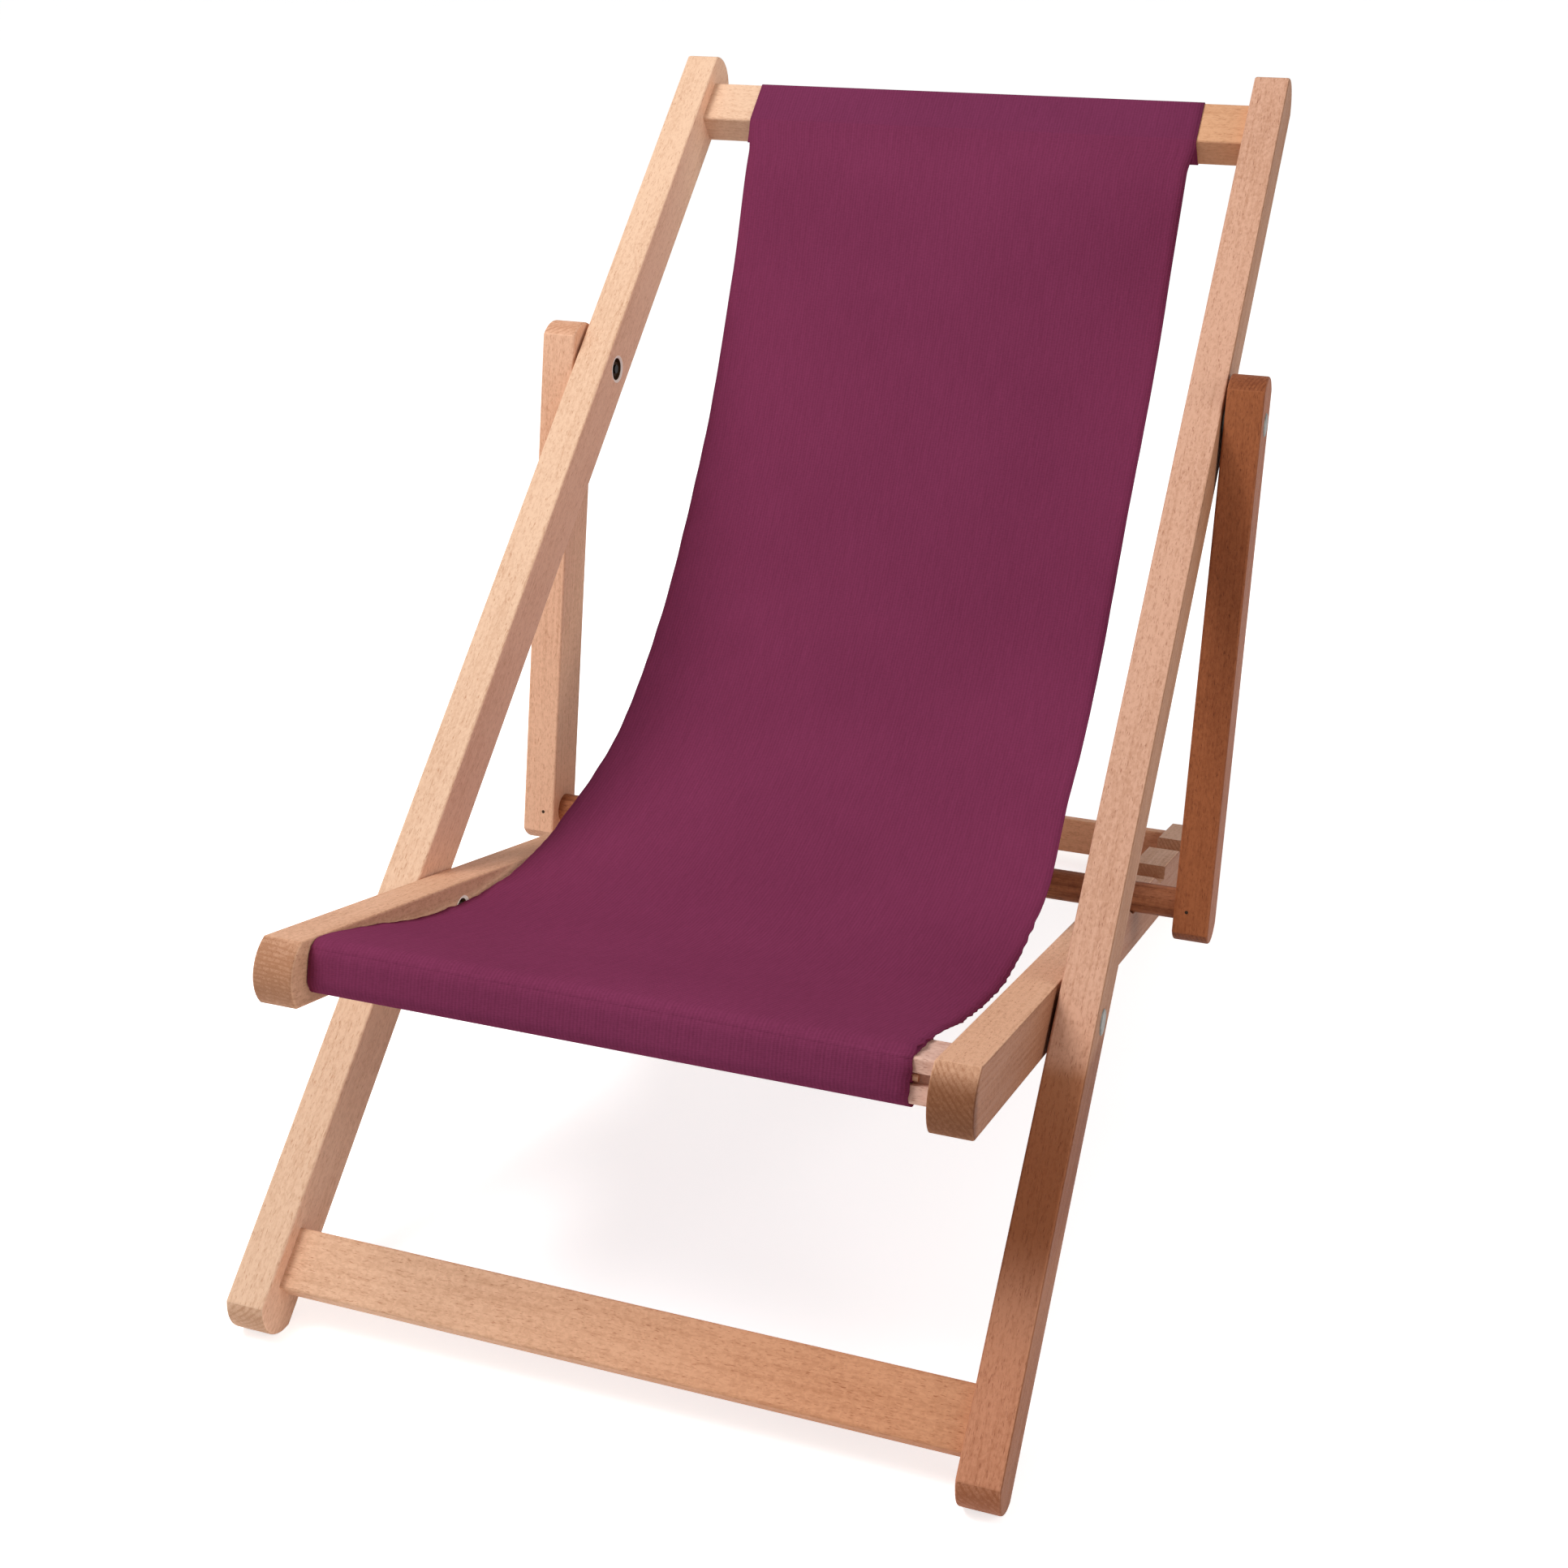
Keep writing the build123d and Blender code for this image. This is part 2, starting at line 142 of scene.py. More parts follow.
def noise_at(tree, place, scale, detail=2.0, roughness=0.5, distortion=0.0):
    """Noise over a place that is stretched by three scales, in features a metre."""
    inputs = {"Vector": stretch(tree, place, scale), "Scale": 1.0, "Detail": detail,
              "Roughness": roughness, "Distortion": distortion}
    return add(tree, "ShaderNodeTexNoise", inputs).outputs["Fac"]


def ramp(tree, value, low, high, start=0.0, end=1.0):
    """A smooth change from the start to the end, as the value goes from low to high."""
    inputs = {"Value": value, "From Min": low, "From Max": high, "To Min": start, "To Max": end}
    made = add(tree, "ShaderNodeMapRange", inputs, interpolation_type="SMOOTHSTEP")
    return made.outputs["Result"]


def mix(tree, factor, first, second, mode="MIX"):
    """A mix of two colours; among the node's sockets, 6 and 7 take a colour and 2 gives it."""
    made = add(tree, "ShaderNodeMix", data_type="RGBA", blend_type=mode)
    for index, value in ((0, factor), (6, first), (7, second)):
        if isinstance(value, bpy.types.NodeSocket):
            tree.links.new(value, made.inputs[index])
        else:
            made.inputs[index].default_value = value
    return made.outputs[2]


def color(red, green, blue):
    return (red, green, blue, 1.0)


def shade(tone, share):
    return color(*(share * part for part in tone[:3]))


# Beech figure. A scale counts features a metre across, along and again across the grain. Two numbers say
# where a noise starts and ends its work, and two more what it gives there. Darkness runs from the light
# wood at none to the dark wood at one, and the heights are shares of the relief.

end_grain_range = (0.45, 0.85)
ring_wander_scale = (9, 1.3, 9)
ring_wander = 0.024
ring_centre = (0.022, 0, 0.018)
ring_pitch = 0.0034
ring_range = (-0.1, 1.0)
ring_fade_scale = (60, 3, 60)
ring_fade = (0.3, 0.7, 0.25, 1.0)
ring_darkness_on_side = 0.14
ring_darkness_on_end = 0.55
end_darkness = 0.60
streak_scale = (330, 7, 330)
streak_range = (0.38, 0.72)
blotch_scale = (14, 5, 14)
blotch_darkness = (0.3, 0.75, -0.12, 0.22)
mottle_scale = (330, 230, 330)
mottle_bend = 0.8
mottle_darkness = (0.35, 0.65, -0.11, 0.16)
fleck_scale = (620, 150, 620)
fleck_range = (0.56, 0.66)
fleck_darkness = 0.20
pore_scale = (1500, 190, 1500)
pore_range = (0.60, 0.74)
pore_darkness = 0.55
beech_roughness = (0.2, 0.8, 0.50, 0.65)
streak_height = 0.4
mottle_height = 0.5
pore_height = -0.8


def make_beech_group():
    """Planed beech with the grain along Y: growth rings, streaks, pores and ray flecks."""
    tree, given, out = new_group(
        "beech_figure",
        [("Place", "vector"), ("Facing", "vector"), ("Light wood", "color"), ("Dark wood", "color"),
         ("Streaks", "float")],
        [("Color", "color"), ("Roughness", "float"), ("Height", "float")],
    )
    place = given["Place"]
    facing = add(tree, "ShaderNodeSeparateXYZ", {0: given["Facing"]}).outputs["Y"]
    end = ramp(tree, math(tree, "ABSOLUTE", facing), *end_grain_range)

    wander = math(tree, "MULTIPLY", noise_at(tree, place, ring_wander_scale, detail=3), ring_wander)
    across = stretch(tree, place, (1, 0, 1))
    offset = add(tree, "ShaderNodeVectorMath", {0: across, 1: ring_centre}, operation="ADD").outputs[0]
    radius = add(tree, "ShaderNodeVectorMath", {0: offset}, operation="LENGTH").outputs["Value"]
    turn = math(tree, "MULTIPLY", math(tree, "ADD", radius, wander), 2 * pi / ring_pitch)
    ring = ramp(tree, math(tree, "SINE", turn), *ring_range)
    ring = math(tree, "MULTIPLY", ring, ramp(tree, noise_at(tree, place, ring_fade_scale), *ring_fade))

    streak = noise_at(tree, place, streak_scale, detail=4, roughness=0.6)
    blotch = noise_at(tree, place, blotch_scale, detail=3)
    mottle = noise_at(tree, place, mottle_scale, detail=2, distortion=mottle_bend)
    fleck = ramp(tree, noise_at(tree, place, fleck_scale, detail=1), *fleck_range)
    pores = ramp(tree, noise_at(tree, place, pore_scale, detail=2), *pore_range)

    ring_darkness = ramp(tree, end, 0.0, 1.0, ring_darkness_on_side, ring_darkness_on_end)
    darkness = total(
        tree,
        math(tree, "MULTIPLY", ring, ring_darkness),
        math(tree, "MULTIPLY", ramp(tree, streak, *streak_range), given["Streaks"]),
        ramp(tree, blotch, *blotch_darkness),
        ramp(tree, mottle, *mottle_darkness),
        math(tree, "MULTIPLY", fleck, fleck_darkness),
        math(tree, "MULTIPLY", end, end_darkness),
    )
    darkness = add(tree, "ShaderNodeClamp", {0: darkness}).outputs[0]
    wood = mix(tree, darkness, given["Light wood"], given["Dark wood"])
    wood = mix(tree, math(tree, "MULTIPLY", pores, pore_darkness), wood, given["Dark wood"], "MULTIPLY")

    tree.links.new(wood, out["Color"])
    tree.links.new(ramp(tree, streak, *beech_roughness), out["Roughness"])
    heights = ((streak, streak_height), (mottle, mottle_height), (pores, pore_height))
    relief = total(tree, *(math(tree, "MULTIPLY", value, height) for value, height in heights))
    tree.links.new(relief, out["Height"])
    return tree


# Canvas weave, in metres on the cloth's own map. A scale counts features a metre across and along it. The
# tone runs from the dark thread at none to the light one at one: by the weave, by uneven threads each way
# and by broad clouds.

rib_pitch = 0.0026
weft_pitch = 0.0013
rib_height = 0.5
weft_height = 0.3
wobble_scale = (45, 12, 1)
wobble = 0.0016
warp_scale = (480, 30, 1)
weft_scale = (260, 700, 1)
cloud_scale = (7, 6, 1)
weave_tone = (-0.8, 0.8, 0.05, 0.45)
warp_tone = (0.3, 0.7, -0.05, 0.20)
weft_tone = (0.3, 0.7, -0.05, 0.25)
cloud_tone = (0.3, 0.7, 0.0, 0.20)
canvas_roughness = (0.2, 0.8, 0.9, 1.0)


def make_canvas_group():
    """Plain weave over a cloth's own map, in metres: ribs along it, finer threads across."""
    tree, given, out = new_group(
        "canvas_weave",
        [("Place", "vector"), ("Light thread", "color"), ("Dark thread", "color")],
        [("Color", "color"), ("Roughness", "float"), ("Height", "float")],
    )
    place = given["Place"]
    parts = add(tree, "ShaderNodeSeparateXYZ", {0: place}).outputs
    sway = math(tree, "MULTIPLY", noise_at(tree, place, wobble_scale), wobble)
    across = math(tree, "ADD", parts["X"], sway)
    rib = math(tree, "SINE", math(tree, "MULTIPLY", across, 2 * pi / rib_pitch))
    weft_turn = math(tree, "MULTIPLY", parts["Y"], 2 * pi / weft_pitch)
    weft = math(tree, "SINE", math(tree, "ADD", weft_turn, math(tree, "MULTIPLY", across, pi / rib_pitch)))
    weave = math(tree, "ADD", math(tree, "MULTIPLY", rib, rib_height),
                 math(tree, "MULTIPLY", weft, weft_height))

    warp_threads = noise_at(tree, place, warp_scale, detail=2, roughness=0.6)
    weft_threads = noise_at(tree, place, weft_scale, detail=2, roughness=0.6)
    cloud = noise_at(tree, place, cloud_scale, detail=3)
    tone = total(
        tree,
        ramp(tree, weave, *weave_tone),
        ramp(tree, warp_threads, *warp_tone),
        ramp(tree, weft_threads, *weft_tone),
        ramp(tree, cloud, *cloud_tone),
    )
    tone = add(tree, "ShaderNodeClamp", {0: tone}).outputs[0]
    tree.links.new(mix(tree, tone, given["Dark thread"], given["Light thread"]), out["Color"])
    tree.links.new(ramp(tree, warp_threads, *canvas_roughness), out["Roughness"])
    tree.links.new(weave, out["Height"])
    return tree


beech_group = make_beech_group()
canvas_group = make_canvas_group()


def new_material(name):
    material = bpy.data.materials.new(name)
    material.use_nodes = True
    return material, material.node_tree, material.node_tree.nodes["Principled BSDF"]


def feed_shader(tree, shader, tone, roughness, height, relief):
    """Colour, roughness and a bump, whose relief is its depth in metres and its strength."""
    tree.links.new(tone, shader.inputs["Base Color"])
    tree.links.new(roughness, shader.inputs["Roughness"])
    inputs = {"Height": height, "Distance": relief[0], "Strength": relief[1]}
    tree.links.new(add(tree, "ShaderNodeBump", inputs).outputs["Normal"], shader.inputs["Normal"])


def place_group(tree, group, inputs):
    """The outputs of a shared group that takes the given sockets and values in a material."""
    figure = tree.nodes.new("ShaderNodeGroup")
    figure.node_tree = group
    for name, value in inputs.items():
        if isinstance(value, bpy.types.NodeSocket):
            tree.links.new(value, figure.inputs[name])
        else:
            figure.inputs[name].default_value = value
    return figure.outputs


# The nuts' recesses, by the rails that hold them: the pivot, and how far out the rail's inner face is

seat_inner = abs(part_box("seat_rail_right")[0][0])
back_inner = abs(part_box("back_rail_right")[0][0])
recesses = {"back_rail": (upper_pivot, back_inner), "seat_rail": (lower_pivot, seat_inner)}
recess_radius = 0.0100
rim_outer = 0.0122
rim_depth = 0.0010
rim_blur = 0.0004
# Painted highlight on the recess's rim, and painted shade inside the recess where the nut sits
painted_rim_highlight = color(1.0, 0.86, 0.76)
painted_recess_shade = color(0.085, 0.042, 0.020)


def paint_recess_light_and_shade(tree, place, wood, pivot, face):
    """The wood's colour with a nut's recess: a painted highlight on its rim and painted shade inside it."""
    sideways = math(tree, "ABSOLUTE", add(tree, "ShaderNodeSeparateXYZ", {0: place}).outputs["X"])
    inside = ramp(tree, sideways, face + rim_depth, face + rim_depth + rim_blur)
    inputs = {0: stretch(tree, place, (0, 1, 1)), 1: (0, pivot.y, pivot.z)}
    reach = add(tree, "ShaderNodeVectorMath", inputs, operation="DISTANCE").outputs["Value"]
    round_rim = ramp(tree, reach, rim_outer, rim_outer + rim_blur, 1.0, 0.0)
    round_hole = ramp(tree, reach, recess_radius + rim_blur / 2, recess_radius + rim_blur, 1.0, 0.0)
    rim = math(tree, "MULTIPLY", round_rim, math(tree, "SUBTRACT", 1.0, inside))
    wood = mix(tree, rim, wood, painted_rim_highlight)
    return mix(tree, math(tree, "MULTIPLY", round_hole, inside), wood, painted_recess_shade)


def tint_part(tree, place, wood, axis, start, end, tone):
    """The wood's colour, toned where a coordinate has passed from the start to the end."""
    along = add(tree, "ShaderNodeSeparateXYZ", {0: place}).outputs[axis]
    if end < start:
        start, end, along = -start, -end, math(tree, "MULTIPLY", along, -1.0)
    return mix(tree, ramp(tree, along, start, end), wood, tone, "MULTIPLY")


beech_relief = (0.0006, 0.5)
beech_specular = 0.12
plain_streaks = 0.22
round_bar_streaks = 0.7


def beech(name, turn, shift, light, dark, streaks=plain_streaks, recess=None, tones_and_painted_light=()):
    """A beech finish whose grain is turned to a piece's length and shifted to its own board."""
    material, tree, shader = new_material(name)
    place = add(tree, "ShaderNodeTexCoord").outputs
    board = add(tree, "ShaderNodeMapping", {"Vector": place["Object"], "Rotation": turn, "Location": shift})
    facing = add(tree, "ShaderNodeMapping", {"Rotation": turn}, vector_type="VECTOR")
    tree.links.new(place["Normal"], facing.inputs["Vector"])
    figure = place_group(tree, beech_group, {
        "Place": board.outputs[0], "Facing": facing.outputs[0],
        "Light wood": light, "Dark wood": dark, "Streaks": streaks,
    })
    wood = figure["Color"]
    for source, *tint in tones_and_painted_light:
        wood = tint_part(tree, place[source], wood, *tint)
    if recess:
        wood = paint_recess_light_and_shade(tree, place["Object"], wood, *recess)
    feed_shader(tree, shader, wood, figure["Roughness"], figure["Height"], beech_relief)
    shader.inputs["Specular IOR Level"].default_value = beech_specular
    return material


patina_scale = (140, 140, 140)
patina_range = (0.35, 0.7)
patina_share = 0.55
scratch_scale = (300, 5200, 2600)
scratch_range = (0.3, 0.7)
scratch_roughness = 0.2
scratch_relief = (0.00005, 0.3)
recess_shade_share = 0.08
hole_blur = 0.0005
steel_specular = 0.1


def steel(name, tone, roughness, metallic=1.0, painted_shade_within=0.0):
    """Steel with fine scratches and a dull patina, and painted shade nearer the chair's middle than a
    distance.
    """
    material, tree, shader = new_material(name)
    place = add(tree, "ShaderNodeTexCoord").outputs["Object"]
    patina = noise_at(tree, place, patina_scale, detail=4, roughness=0.65)
    scratch = noise_at(tree, place, scratch_scale)
    plain = mix(tree, ramp(tree, patina, *patina_range), tone, shade(tone, patina_share))
    sideways = math(tree, "ABSOLUTE", add(tree, "ShaderNodeSeparateXYZ", {0: place}).outputs["X"])
    # Painted shade on the bolt's end, which lies inside the nut's recess
    dark = ramp(tree, sideways, painted_shade_within - hole_blur, painted_shade_within, 1.0, 0.0)
    metal = mix(tree, dark, plain, shade(tone, recess_shade_share))
    rough = ramp(tree, scratch, *scratch_range, roughness, roughness + scratch_roughness)
    feed_shader(tree, shader, metal, rough, scratch, scratch_relief)
    shader.inputs["Metallic"].default_value = metallic
    shader.inputs["Specular IOR Level"].default_value = steel_specular
    return material


# Painted shade: the canvas is a little deeper in colour over the top bar's upper face, by lengths on the
# cloth's own map

bar_face = (0.1245, 0.1702)
bar_face_blur = 0.0015
bar_face_painted_shade = color(0.90, 0.93, 0.95)
canvas_relief = (0.0003, 0.4)
canvas_specular = 0.01


def canvas(name, light, dark):
    material, tree, shader = new_material(name)
    place = add(tree, "ShaderNodeUVMap", uv_map="cloth_map").outputs["UV"]
    figure = place_group(tree, canvas_group, {"Place": place, "Light thread": light, "Dark thread": dark})
    along = add(tree, "ShaderNodeSeparateXYZ", {0: place}).outputs["Y"]
    start, end = bar_face
    shade_on_bar = math(tree, "MULTIPLY", ramp(tree, along, start - bar_face_blur, start),
                  ramp(tree, along, end, end + bar_face_blur, 1.0, 0.0))
    # Painted shade over the top bar's upper face
    cloth = mix(tree, shade_on_bar, figure["Color"], bar_face_painted_shade, "MULTIPLY")
    feed_shader(tree, shader, cloth, figure["Roughness"], figure["Height"], canvas_relief)
    shader.inputs["Specular IOR Level"].default_value = canvas_specular
    return material


ply_scale = (2600, 900, 900)
ply_range = (0.35, 0.65)
thread_roughness = 0.8
thread_specular = 0.1


def thread(name, light, dark):
    """Twisted sewing thread that lies across the chair."""
    material, tree, shader = new_material(name)
    place = add(tree, "ShaderNodeTexCoord").outputs["Object"]
    ply = ramp(tree, noise_at(tree, place, ply_scale), *ply_range)
    tree.links.new(mix(tree, ply, dark, light), shader.inputs["Base Color"])
    shader.inputs["Roughness"].default_value = thread_roughness
    shader.inputs["Specular IOR Level"].default_value = thread_specular
    return material


# Finishes of the solid pieces

pale_beech = color(0.85, 0.565, 0.385)
pale_grain = color(0.61, 0.335, 0.200)
# A shaded copy of the pale beech for the right back rail: painted shade where the light falls off to the
# right
shaded_right_beech = color(0.73, 0.415, 0.285)
shaded_right_grain = color(0.43, 0.190, 0.100)
seat_beech = color(0.74, 0.420, 0.265)
seat_grain = color(0.46, 0.215, 0.115)
# The front bar's beech, made paler and pinker: partly its own tone, partly painted sheen from its top face
front_bar_sheen_beech = color(0.80, 0.520, 0.420)
front_bar_sheen_grain = color(0.46, 0.220, 0.150)
plank_beech = color(0.86, 0.525, 0.340)
plank_grain = color(0.55, 0.280, 0.155)
prop_beech = color(0.88, 0.520, 0.345)
prop_grain = color(0.58, 0.285, 0.165)
# A dark copy of the prop beech for the right prop rail: painted shadow of the right back rail over it
shaded_prop_beech = color(0.38, 0.122, 0.047)
shaded_prop_grain = color(0.20, 0.053, 0.019)
rear_beech = color(0.86, 0.430, 0.240)
rear_grain = color(0.55, 0.215, 0.100)
# A dark copy of the beech for the round prop bar: painted shade of the sling above it
shaded_bar_beech = color(0.44, 0.160, 0.070)
shaded_bar_grain = color(0.20, 0.060, 0.026)

turns = {
    "back": (-lean, 0, 0),
    "seat": (slope, 0, 0),
    "prop": (-prop_angle, 0, 0),
    "cross": (0, 0, pi / 2),
}
boards = (
    ("back_rail_left", "back", pale_beech, pale_grain),
    ("back_rail_right", "back", shaded_right_beech, shaded_right_grain),
    ("seat_rail_left", "seat", seat_beech, seat_grain),
    ("seat_rail_right", "seat", seat_beech, seat_grain),
    ("prop_rail_left", "prop", prop_beech, prop_grain),
    ("prop_rail_right", "prop", shaded_prop_beech, shaded_prop_grain),
    ("top_bar", "cross", pale_beech, pale_grain),
    ("front_plank", "cross", plank_beech, plank_grain),
    ("front_bar", "cross", front_bar_sheen_beech, front_bar_sheen_grain),
    ("rear_bar", "cross", rear_beech, rear_grain),
    ("prop_bar", "cross", shaded_bar_beech, shaded_bar_grain),
    ("sling_rod", "cross", plank_beech, plank_grain),
    ("top_bar_dowels", "cross", plank_beech, plank_grain),
    ("front_plank_dowels", "cross", plank_beech, plank_grain),
    ("front_bar_dowels", "cross", plank_beech, plank_grain),
    ("rear_bar_dowels", "cross", plank_beech, plank_grain),
)

# Where a board's colour changes, by place or on the faces that look to the right, mostly as painted light
# and
# shade: none of the tone at the first number and all of it at the second

painted_right_face_light = ("Normal", "X", 0.5, 0.8)
tones_and_painted_light = {
    # Painted light on the left back rail's inner face, which looks to the right
    "back_rail_left": [(*painted_right_face_light, color(1.10, 1.03, 1.03))],
    # Painted shade on the right back rail's right face
    "back_rail_right": [(*painted_right_face_light, color(0.54, 0.46, 0.37)),
                        # Painted shadow of the seat on the lower rail, a deeper band of painted shadow
                        # under the seat rail, and lighter again towards the foot
                        ("Object", "Z", 0.27, 0.16, color(0.82, 0.63, 0.52)),
                        ("Object", "Z", 0.226, 0.212, color(0.68, 0.53, 0.39)),
                        ("Object", "Z", 0.145, 0.105, color(1.47, 1.89, 2.56))],
    # Painted shade on the right seat rail's right face; the rail also darker towards its front end
    "seat_rail_right": [(*painted_right_face_light, color(0.47, 0.36, 0.31)),
                        ("Object", "Y", -0.470, -0.482, color(0.50, 0.40, 0.33))],
    # Painted shade on the right prop rail's right face
    "prop_rail_right": [(*painted_right_face_light, color(0.80, 0.78, 0.78))],
    # Painted shade: the top bar and the plank darker towards the right, where the light falls off
    "top_bar": [("Object", "X", -0.10, 0.16, color(0.90, 0.74, 0.61))],
    "front_plank": [("Object", "X", -0.20, 0.20, color(0.86, 0.68, 0.57))],
}

zinc_tone = color(0.18, 0.17, 0.155)
zinc_roughness = 0.34
browned_tone = color(0.060, 0.034, 0.020)
browned_roughness = 0.60
bolt_head_height = 0.003
board_shift = (0.13, 0.71, 0.09)


def finish_node(node, material):
    for slot in frame["nodes"][node].material_slots:
        slot.material = material


def finish_solids():
    for order, (node, direction, light, dark) in enumerate(boards):
        shift = [step * order for step in board_shift]
        streaks = round_bar_streaks if node == "prop_bar" else plain_streaks
        recess = recesses.get(node.rsplit("_", 1)[0])
        finish_node(node, beech(node + "_wood", turns[direction], shift, light, dark, streaks, recess,
                                tones_and_painted_light.get(node, ())))
    head_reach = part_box("lower_pivot_bolt_right")[1][0] - bolt_head_height
    zinc = steel("zinc_steel", zinc_tone, zinc_roughness, painted_shade_within=head_reach)
    browned = steel("browned_steel", browned_tone, browned_roughness, metallic=0.0)
    for node in frame["nodes"]:
        if "_nut_" in node or node == "prop_bar_pins":
            finish_node(node, browned)
        elif "_pivot_" in node:
            finish_node(node, zinc)


# Sling: one strip of canvas, from the loop round the top bar to the rod in the front bar's slot

canvas_thickness = 0.0009
clearance = 0.0003
first_layer = clearance + canvas_thickness / 2
layer_gap = canvas_thickness + 0.0001
bar_edge_round = 0.002
first_turn = bar_edge_round + first_layer
top_bar_half = (0.023, 0.0155)
front_bar_half = (0.024, 0.0155)
top_bar = (middle("top_bar"), top_bar_half, back_along, back_up)
front_bar = (middle("front_bar"), front_bar_half, seat_along, seat_up)
leave_angle = 28
flap_length = 0.022
flap_start = 0.003

wrap_off_front = 0.0028
wrap_off_top = 0.0044
wrap_off_under = 0.0036
wrap_top_round = 0.0133
wrap_under_round = 0.0125
wrap_rear_round = 0.003

# The hanging line in shares of the straight line from the front wrap to the top bar: along, below
hang_shares = ((0.030, 0.034), (0.110, 0.129), (0.190, 0.203), (0.280, 0.252), (0.370, 0.2745),
               (0.470, 0.276), (0.570, 0.253), (0.670, 0.2115), (0.770, 0.162), (0.870, 0.097),
               (0.955, 0.031))

# Half the cloth's width at shares of the hanging line from the top, and the slant of its middle
sling_half_width = 0.2135
half_widths = ((0.0, 0.2135), (0.025, 0.2095), (0.13, 0.2077), (0.31, 0.2045), (0.54, 0.2060),
               (0.66, 0.2138), (0.82, 0.2160), (0.95, 0.2178), (1.0, 0.2172))
middle_at_top = 0.0035
middle_at_front = -0.0080
rail_gap = 0.0007
step_length = 0.004
shortest_step = 0.0002
columns = 48

rod_radius = 0.0025
rod_start = 90
rod_turn = 300
rod_steps = 16
slot_mouth_rise = 0.0006
slot_lip_reach = 0.0012
slot_lip_drop = 0.0004

# The cloth's unevenness: changes across its half width and in a metre along it, a seed and a depth. The
# shares of the hanging line say where the held ends let go and where the curl and the fray grow.
ripple = (1.4, 6, 0.37, 0.0012)
edge_curl = (3, 40, 1.7, 0.0016)
edge_fray = (2, 95, 4.1, 0.0020)
belly_depth = 0.003
edge_start_share = 0.86
held_share = 1 / 9
curl_shares = (0.0, 0.5)
fray_shares = (0.6, 0.8)


def turn_points(bar, corner, offsets, radius, start, end, steps=8):
    """A layer's turn round one edge of a bar; the angles run from the bar's along to its up."""
    centre, half, along, up = bar
    reach = [size + offset - radius for size, offset in zip(half, offsets)]
    hub = centre + along * corner[0] * reach[0] + up * corner[1] * reach[1]
    points = []
    for step in range(steps + 1):
        angle = radians(start + (end - start) * step / steps)
        points.append(hub + (along * cos(angle) + up * sin(angle)) * radius)
    return points


def smooth_line(points, first_direction, last_direction, steps=24):
    """A smooth line through the points that leaves and arrives along the given directions."""
    directions = [first_direction]
    directions += [(after - before).normalized() for before, after in zip(points, points[2:])]
    directions.append(last_direction)
    line = []
    for index in range(len(points) - 1):
        first, second = points[index], points[index + 1]
        reach = (second - first).length / 3
        line += interpolate_bezier(first, first + directions[index] * reach,
                                   second - directions[index + 1] * reach, second, steps)[:-1]
    return line + [points[-1]]


first_offsets = (first_layer, first_layer)
top_leave = turn_points(top_bar, (-1, 1), first_offsets, first_turn, 90, 90 + leave_angle)
wrap_top = turn_points(front_bar, (-1, 1), (wrap_off_front, wrap_off_top), wrap_top_round, 90, 180)


def hanging_line():
    """The free cloth's line, from the top bar down to the front bar's rounded wrap."""
    top, front = top_leave[-1], wrap_top[0]
    chord = top - front
    below = Vector((0, chord.z, -chord.y))
    knots = [front] + [front + chord * along + below * down for along, down in hang_shares] + [top]
    knots.reverse()
    turned = radians(180 + leave_angle)
    leave = back_along * cos(turned) + back_up * sin(turned)
    return smooth_line(knots, leave, -seat_along)


hang = hanging_line()


def sling_path():
    """The strip's middle line from the rear flap's free edge to the end round the rod."""
    leave = (hang[3] - hang[0]).normalized()
    behind = Vector((0, -leave.z, leave.y)) * layer_gap
    path = [hang[0] + leave * flap_length + behind, hang[0] + leave * flap_start + behind]
    for corner, start in (((-1, -1), 180), ((1, -1), 270), ((1, 1), 0)):
        path += turn_points(top_bar, corner, first_offsets, first_turn, start, start + 90)
    path += top_leave + hang[1:] + wrap_top[1:]
    under = (wrap_off_front, wrap_off_under)
    path += turn_points(front_bar, (-1, -1), under, wrap_under_round, 180, 270)
    rear = (first_layer, wrap_off_under)
    path += turn_points(front_bar, (1, -1), rear, wrap_rear_round, 270, 360)
    path += turn_points(front_bar, (1, 1), first_offsets, first_turn, 0, 90)
    path += turn_points(front_bar, (-1, 1), first_offsets, first_turn, 90, 180)

    rod = middle("sling_rod")
    loop = rod_radius + first_layer
    height = (rod - front_bar[0]).dot(seat_up) + loop + slot_mouth_rise
    mouth = front_bar[0] - seat_along * (front_bar_half[0] + first_layer) + seat_up * height
    path.append(mouth)
    path.append(mouth + seat_along * slot_lip_reach - seat_up * slot_lip_drop)
    for step in range(rod_steps + 1):
        angle = radians(rod_start - rod_turn * step / rod_steps)
        path.append(rod + (seat_along * cos(angle) + seat_up * sin(angle)) * loop)
    return path


def spread(points, step):
    """The same line with no stretch longer than a step."""
    fine = [points[0]]
    for point in points[1:]:
        start = fine[-1]
        gap = (point - start).length
        if gap < shortest_step:
            continue
        count = ceil(gap / step)
        fine += [start.lerp(point, index / count) for index in range(1, count + 1)]
    return fine


def rise(value, start, end):
    """A smooth rise from none at the start to one at the end."""
    part = min(1.0, max(0.0, (value - start) / (end - start)))
    return part * part * (3 - 2 * part)


def half_width(share):
    """Half the strip's width at a share of the hanging line's length from the top bar."""
    for (start, first), (end, second) in zip(half_widths, half_widths[1:]):
        if share <= end:
            return first + (second - first) * rise(share, start, end)
    return half_widths[-1][1]


def uneven(side, along, pattern):
    """A pattern's offset at a place on the cloth, by smooth noise."""
    across_scale, along_scale, seed, depth = pattern
    return noise.noise(Vector((side * across_scale, along * along_scale, seed))) * depth


